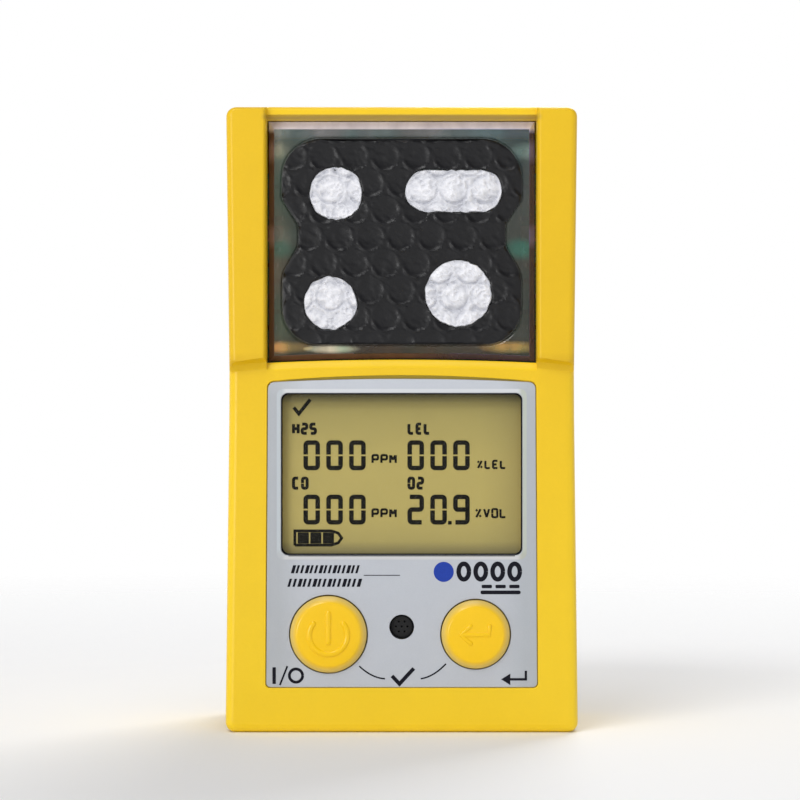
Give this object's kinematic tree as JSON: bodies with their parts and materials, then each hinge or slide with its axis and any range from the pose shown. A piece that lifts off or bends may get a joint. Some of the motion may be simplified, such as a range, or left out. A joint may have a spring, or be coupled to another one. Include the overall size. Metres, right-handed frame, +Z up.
{
  "type": "portable gas detector",
  "caption": "Belt-worn four-gas detector: two-part plastic case, clear window over the gas sensors, liquid-crystal display, two push buttons, sounder port and sprung belt clip.",
  "frame": {"origin": "on the flat bottom end of the case, in the middle of its width and on the case's own mid plane", "axes": "+Z up the height of the instrument, towards the sensors; -Y out of the display; +X to the right as seen from the front"},
  "size_m": [0.062, 0.0467, 0.109],
  "materials": {
    "case_plastic": "moulded yellow polycarbonate, fine satin texture",
    "button_plastic": "moulded yellow rubber-touch plastic",
    "clear_plastic": "clear, slightly smoked polycarbonate",
    "barrier": "black film with embossed dimples",
    "membrane": "white porous film, dimpled",
    "label": "silver-grey printed film",
    "lcd": "olive reflective liquid-crystal panel",
    "black_rubber": "matt",
    "black_plastic": "satin",
    "white_plastic": "satin",
    "circuit_board": "green solder mask",
    "battery_wrap": "blue shrink film",
    "red_lens": "clear red",
    "steel": "brushed",
    "brass": "turned",
    "gold_contact": "gold plated"
  },
  "bodies": {
    "case": {"front_case": "case_plastic", "rear_case": "case_plastic", "case_seal": "black_rubber", "case_screw_1": "steel", "case_screw_2": "steel", "case_screw_3": "steel", "case_screw_4": "steel", "case_insert_1": "brass", "case_insert_2": "brass", "case_insert_3": "brass", "case_insert_4": "brass", "window_cover": "clear_plastic", "sensor_barrier": "barrier", "h2s_membrane": "membrane", "lel_membrane": "membrane", "co_membrane": "membrane", "o2_membrane": "membrane", "h2s_sensor": "white_plastic", "lel_sensor": "steel", "co_sensor": "white_plastic", "o2_sensor": "white_plastic", "sensor_gasket": "black_rubber", "alarm_led_left": "red_lens", "alarm_led_right": "red_lens", "front_label": "label", "display_lens": "clear_plastic", "lcd_panel": "lcd", "lcd_frame": "black_plastic", "backlight_panel": "white_plastic", "contact_strip_lower": "black_rubber", "contact_strip_upper": "black_rubber", "power_switch": "black_plastic", "enter_switch": "black_plastic", "sounder": "black_plastic", "sounder_gasket": "black_rubber", "sounder_screen": "black_plastic", "main_board": "circuit_board", "sensor_board": "circuit_board", "board_connector": "black_plastic", "battery_pack": "battery_wrap", "battery_pad": "black_rubber", "battery_socket": "white_plastic", "battery_lead": "black_rubber", "vibration_motor": "steel", "motor_holder": "black_rubber", "charge_contact_left": "gold_contact", "charge_contact_right": "gold_contact", "rear_label": "label", "clip_plate": "steel", "clip_pin": "steel", "clip_spring": "steel", "clip_screw_lower": "steel", "clip_screw_upper": "steel"},
    "power_button": {"power_button": "button_plastic", "power_switch_plunger": "white_plastic"},
    "enter_button": {"enter_button": "button_plastic", "enter_switch_plunger": "white_plastic"},
    "clip_lever": {"clip_lever": "steel"},
    "motor_weight": {"motor_weight": "steel"}
  },
  "joints": [
    {"name": "power_button_press", "type": "slide", "parent": "case", "child": "power_button", "axis": [0, 1, 0], "range_m": [0, 0.0005], "stiffness_N_per_m": 3000, "springref_m": -0.0002},
    {"name": "enter_button_press", "type": "slide", "parent": "case", "child": "enter_button", "axis": [0, 1, 0], "range_m": [0, 0.0005], "stiffness_N_per_m": 3000, "springref_m": -0.0002},
    {"name": "clip_lever_hinge", "type": "hinge", "parent": "case", "child": "clip_lever", "pos_m": [0, 0.022, 0.084], "axis": [1, 0, 0], "range_deg": [0, 28], "stiffness_Nm_per_rad": 0.25, "springref_deg": -34.38},
    {"name": "motor_weight_spin", "type": "hinge", "parent": "case", "child": "motor_weight", "pos_m": [0, -0.0031, 0.0082], "axis": [1, 0, 0], "continuous": true}
  ]
}
